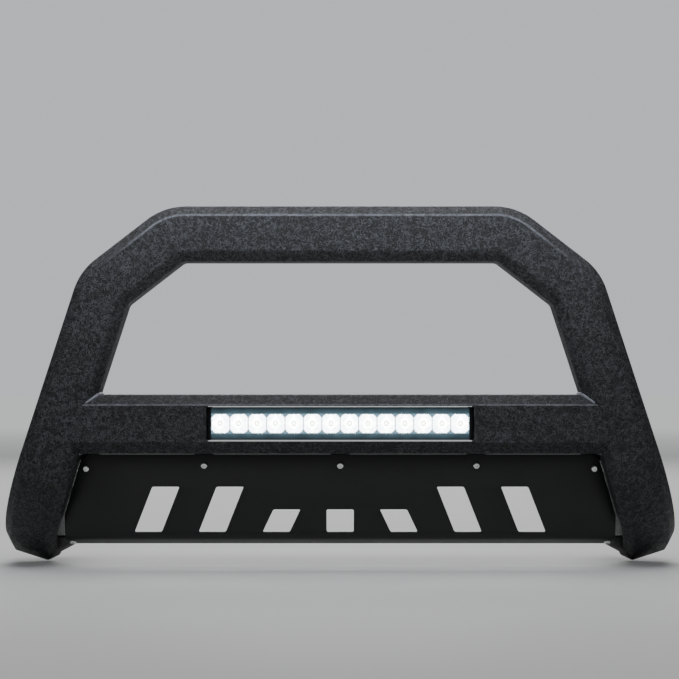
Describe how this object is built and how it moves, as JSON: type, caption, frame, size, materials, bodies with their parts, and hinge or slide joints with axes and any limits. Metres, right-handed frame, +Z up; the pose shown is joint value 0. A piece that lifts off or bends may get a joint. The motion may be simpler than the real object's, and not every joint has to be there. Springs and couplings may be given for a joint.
{
  "type": "truck bull bar",
  "caption": "Black steel hoop guard for a truck's front, with a crossbar holding a tilting light bar, a slotted skid plate and bolt-on frame brackets.",
  "frame": {"origin": "centre of the four frame bolt holes, on the brackets' rear faces", "axes": "X across the vehicle, +Y towards the vehicle (the guard faces -Y), +Z up"},
  "size_m": [0.9998, 0.21, 0.5215],
  "materials": {
    "hoop_powder": "textured black powder coat",
    "plate_powder": "satin black powder coat",
    "zinc": "bright zinc plate",
    "black_anodised": "black anodised",
    "clear_cover": "clear moulded cover",
    "reflector_metal": "vacuum-metallised plastic",
    "board": "white solder mask",
    "driver_green": "green solder mask",
    "emitter": "clear silicone dome over phosphor",
    "rubber": "matt black rubber"
  },
  "bodies": {
    "frame": {"hoop_shell": "hoop_powder", "hoop_back": "hoop_powder", "hoop_end_left": "hoop_powder", "hoop_end_right": "hoop_powder", "crossbar": "hoop_powder", "light_tab_left": "hoop_powder", "light_tab_right": "hoop_powder", "skid_tabs": "hoop_powder", "foot_tab_left": "hoop_powder", "foot_tab_right": "hoop_powder", "skid_plate": "plate_powder", "skid_screws_top": "zinc", "skid_screws_bottom": "zinc", "skid_washers": "zinc", "skid_nuts": "zinc", "mount_plate_left": "hoop_powder", "mount_plate_right": "hoop_powder", "frame_bracket_left": "plate_powder", "frame_bracket_right": "plate_powder", "bracket_ribs_left": "plate_powder", "bracket_ribs_right": "plate_powder", "bracket_bolts_left": "zinc", "bracket_washers_left": "zinc", "bracket_lock_washers_left": "zinc", "bracket_nuts_left": "zinc", "bracket_bolts_right": "zinc", "bracket_washers_right": "zinc", "bracket_lock_washers_right": "zinc", "bracket_nuts_right": "zinc"},
    "light": {"light_housing": "black_anodised", "light_lens": "clear_cover", "light_lens_seal": "rubber", "light_reflector": "reflector_metal", "light_circuit_board": "board", "light_emitters": "emitter", "light_driver_board": "driver_green", "light_gasket_left": "rubber", "light_gasket_right": "rubber", "light_end_cap_left": "black_anodised", "light_end_cap_right": "black_anodised", "light_cap_screws_left": "zinc", "light_cap_screws_right": "zinc", "light_pivot_bolt_left": "zinc", "light_pivot_bolt_right": "zinc", "light_pivot_washers_left": "zinc", "light_pivot_washers_right": "zinc", "light_cable_gland": "rubber", "light_vent_plug": "black_anodised"}
  },
  "joints": [
    {"name": "light_tilt", "type": "hinge", "parent": "frame", "child": "light", "pos_m": [0, -0.181, 0.0885], "axis": [1, 0, 0], "range_deg": [-6, 6]}
  ]
}
